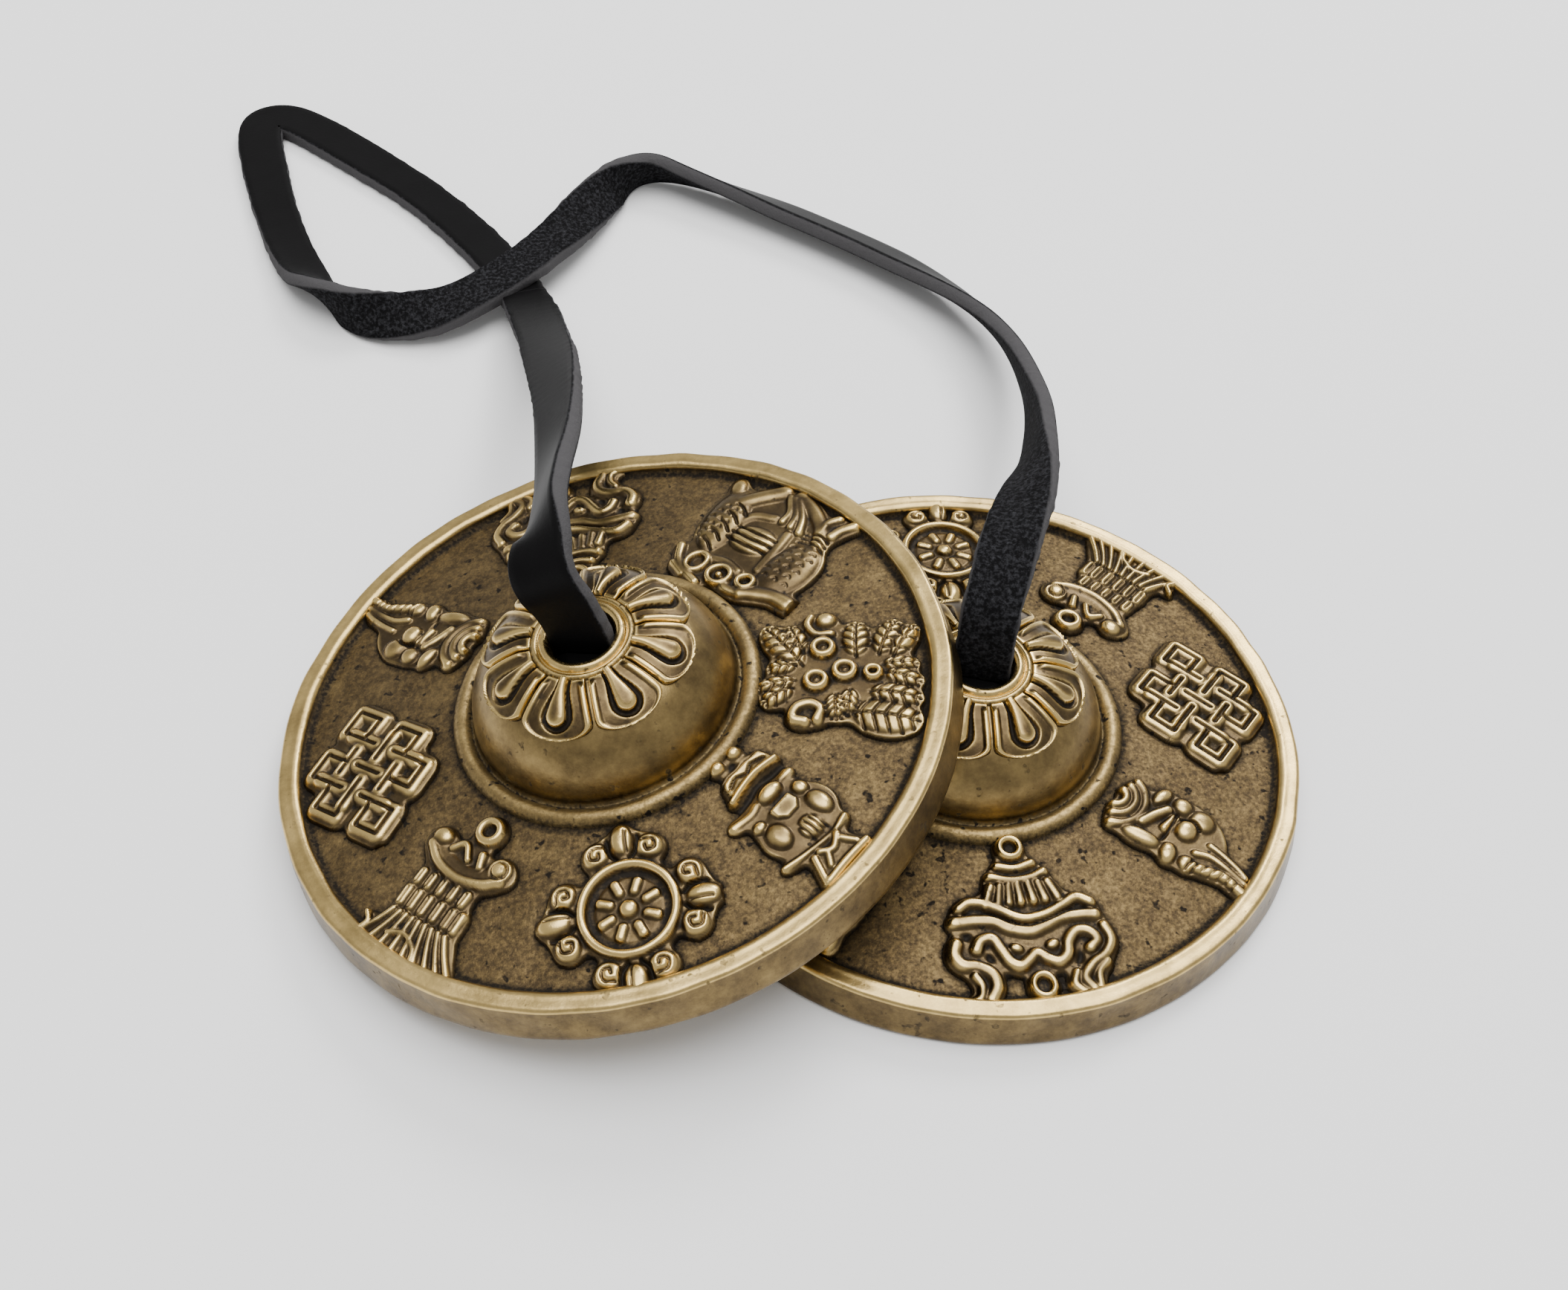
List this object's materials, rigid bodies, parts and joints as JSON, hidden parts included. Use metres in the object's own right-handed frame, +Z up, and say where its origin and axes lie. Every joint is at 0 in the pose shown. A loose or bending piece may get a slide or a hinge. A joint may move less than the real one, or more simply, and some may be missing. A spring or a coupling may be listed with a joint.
{
  "type": "pair of finger cymbals",
  "caption": "Pair of small cast hand cymbals with relief on a leather thong, one lying flat and one leaning on it; struck rim to rim to ring.",
  "frame": {"origin": "on the surface the pair stands on, under the middle of the two cymbals", "axes": "+X from the leaning cymbal to the flat one, +Z up, +Y towards the thong's loop"},
  "size_m": [0.1212, 0.1631, 0.0372],
  "materials": {
    "cast_brass": "antique patina, polished high points",
    "black_leather": "matte, one smooth face and one suede face"
  },
  "bodies": {
    "thong": {"thong_long_run": "black_leather", "lower_knot": "black_leather"},
    "lower_cymbal": {"lower_cymbal": "cast_brass"},
    "thong_end": {"thong_short_run": "black_leather", "upper_knot": "black_leather"},
    "upper_cymbal": {"upper_cymbal": "cast_brass"}
  },
  "joints": [
    {"name": "lower_spin", "type": "hinge", "parent": "thong", "child": "lower_cymbal", "pos_m": [0.01816, 0, 0], "axis": [0, 0, 1], "continuous": true},
    {"name": "upper_lift", "type": "hinge", "parent": "thong", "child": "thong_end", "pos_m": [-0.05376, 0, 0], "axis": [0, -1, 0], "range_deg": [0, 35]},
    {"name": "upper_spin", "type": "hinge", "parent": "thong_end", "child": "upper_cymbal", "pos_m": [-0.01905, 0, 0.00792], "axis": [-0.2224, 0, 0.9749], "continuous": true}
  ]
}
